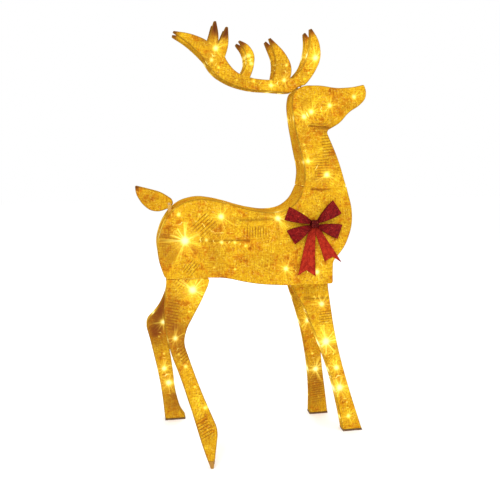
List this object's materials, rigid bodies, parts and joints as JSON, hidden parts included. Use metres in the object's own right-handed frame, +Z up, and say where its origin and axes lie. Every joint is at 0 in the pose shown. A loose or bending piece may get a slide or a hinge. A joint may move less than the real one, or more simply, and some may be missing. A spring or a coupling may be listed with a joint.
{
  "type": "light up yard reindeer",
  "caption": "Standing antlered reindeer lawn figure: gold mesh covers over wire frames, light strings inside, ribbon bow, folding legs, lift-off head and antlers.",
  "frame": {"origin": "middle of the footprint box, on the ground", "axes": "+Z up, +X towards the head, -Y is the side with the bow"},
  "size_m": [0.7392, 0.3934, 1.325],
  "materials": {
    "gold_mesh": "stretched metallic mesh, gold and amber",
    "gold_wire": "gold powder coat",
    "steel": "zinc plated",
    "lead": "amber PVC lead",
    "light": "warm white light domes",
    "plastic": "moulded",
    "nylon": "translucent nylon",
    "foot": "moulded foot pad",
    "ribbon": "red glitter ribbon"
  },
  "bodies": {
    "torso": {"bow_knot": "ribbon", "bow_loops": "ribbon", "bow_tails": "ribbon", "bow_tie_wire": "steel", "far_front_leg_jumper": "lead", "far_hind_leg_jumper": "lead", "front_leg_pins": "steel", "hind_leg_pins": "steel", "near_front_leg_jumper": "lead", "near_hind_leg_jumper": "lead", "neck_socket": "plastic", "power_inlet": "plastic", "tail_pin": "steel", "torso_bulbs": "light", "torso_cover": "gold_mesh", "torso_frame": "gold_wire", "torso_lead_ties": "nylon", "torso_light_lead": "lead"},
    "head": {"antler_sockets": "plastic", "head_bulbs": "light", "head_cover": "gold_mesh", "head_frame": "gold_wire", "head_lead_ties": "nylon", "head_light_lead": "lead", "neck_plug": "plastic"},
    "near_antler": {"near_antler_bulbs": "light", "near_antler_cover": "gold_mesh", "near_antler_frame": "gold_wire", "near_antler_light_lead": "lead", "near_antler_plug": "plastic"},
    "far_antler": {"far_antler_bulbs": "light", "far_antler_cover": "gold_mesh", "far_antler_frame": "gold_wire", "far_antler_light_lead": "lead", "far_antler_plug": "plastic"},
    "tail": {"tail_cover": "gold_mesh", "tail_frame": "gold_wire"},
    "near_hind_leg": {"near_hind_leg_bulbs": "light", "near_hind_leg_cover": "gold_mesh", "near_hind_leg_foot": "steel", "near_hind_leg_frame": "gold_wire", "near_hind_leg_light_lead": "lead"},
    "far_hind_leg": {"far_hind_leg_bulbs": "light", "far_hind_leg_cover": "gold_mesh", "far_hind_leg_foot": "foot", "far_hind_leg_frame": "gold_wire", "far_hind_leg_light_lead": "lead"},
    "near_front_leg": {"near_front_leg_bulbs": "light", "near_front_leg_cover": "gold_mesh", "near_front_leg_foot": "foot", "near_front_leg_frame": "gold_wire", "near_front_leg_light_lead": "lead"},
    "far_front_leg": {"far_front_leg_bulbs": "light", "far_front_leg_cover": "gold_mesh", "far_front_leg_foot": "foot", "far_front_leg_frame": "gold_wire", "far_front_leg_light_lead": "lead"}
  },
  "joints": [
    {"name": "near_hind_leg_fold", "type": "hinge", "parent": "torso", "child": "near_hind_leg", "pos_m": [-0.16422, -0.01574, 0.528], "axis": [0, -0.9511, 0.309], "range_deg": [0, 78], "deforming": ["near_hind_leg_jumper"]},
    {"name": "far_hind_leg_fold", "type": "hinge", "parent": "torso", "child": "far_hind_leg", "pos_m": [-0.16422, 0.13626, 0.528], "axis": [0, -0.9966, -0.0819], "range_deg": [0, 78], "deforming": ["far_hind_leg_jumper"]},
    {"name": "near_front_leg_fold", "type": "hinge", "parent": "torso", "child": "near_front_leg", "pos_m": [0.14278, 0.03426, 0.5], "axis": [0, 0.9962, -0.0872], "range_deg": [0, 95], "deforming": ["near_front_leg_jumper"]},
    {"name": "far_front_leg_fold", "type": "hinge", "parent": "torso", "child": "far_front_leg", "pos_m": [0.14278, 0.08626, 0.5], "axis": [0, 0.9942, 0.1071], "range_deg": [0, 95], "deforming": ["far_front_leg_jumper"]},
    {"name": "neck_lift", "type": "slide", "parent": "torso", "child": "head", "axis": [0, 0, 1], "range_m": [0, 0.08]},
    {"name": "near_antler_pull", "type": "slide", "parent": "head", "child": "near_antler", "axis": [0, -0.0872, 0.9962], "range_m": [0, 0.045]},
    {"name": "far_antler_pull", "type": "slide", "parent": "head", "child": "far_antler", "axis": [0, 0.0872, 0.9962], "range_m": [0, 0.045]},
    {"name": "tail_tilt", "type": "hinge", "parent": "torso", "child": "tail", "pos_m": [-0.26622, 0.06026, 0.777], "axis": [0, 1, 0], "range_deg": [-25, 35]}
  ]
}
